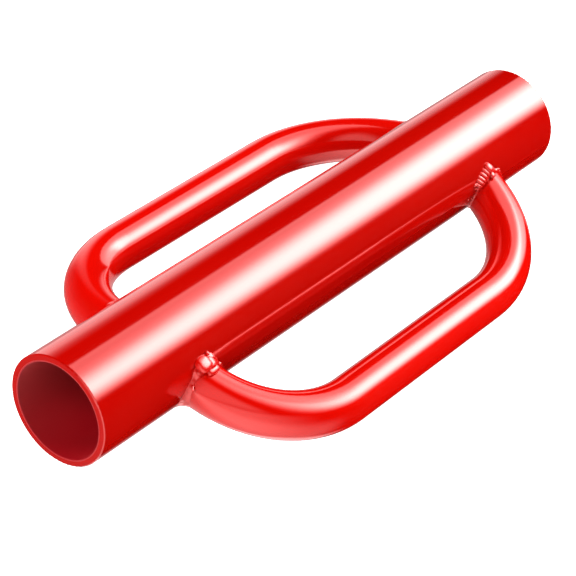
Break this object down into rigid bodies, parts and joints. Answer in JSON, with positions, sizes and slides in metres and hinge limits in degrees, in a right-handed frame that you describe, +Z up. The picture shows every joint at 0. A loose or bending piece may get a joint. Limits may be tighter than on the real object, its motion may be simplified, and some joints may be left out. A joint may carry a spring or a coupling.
{
  "type": "post driver",
  "caption": "Hand post driver: thick steel tube, open at the mouth and closed at the head by a welded striker plate, with a bent-tube handle welded to each side.",
  "frame": {"origin": "on the ground under the middle of the barrel, as the driver lies on its barrel and both grips", "axes": "+Y along the barrel from the mouth to the head, +X to the right handle, +Z up"},
  "size_m": [0.2312, 0.49, 0.0761],
  "materials": {
    "barrel_paint": "gloss red paint over drawn steel tube, darker inside the bore",
    "plate_paint": "gloss red paint over a sawn steel disc",
    "handle_paint": "gloss red paint over bent steel tube",
    "weld_paint": "gloss red paint over rippled weld metal"
  },
  "bodies": {
    "root": {"barrel": "barrel_paint", "striker_plate": "plate_paint", "striker_weld": "weld_paint", "right_handle": "handle_paint", "right_mouth_weld": "weld_paint", "right_head_weld": "weld_paint", "left_handle": "handle_paint", "left_mouth_weld": "weld_paint", "left_head_weld": "weld_paint"}
  },
  "joints": []
}
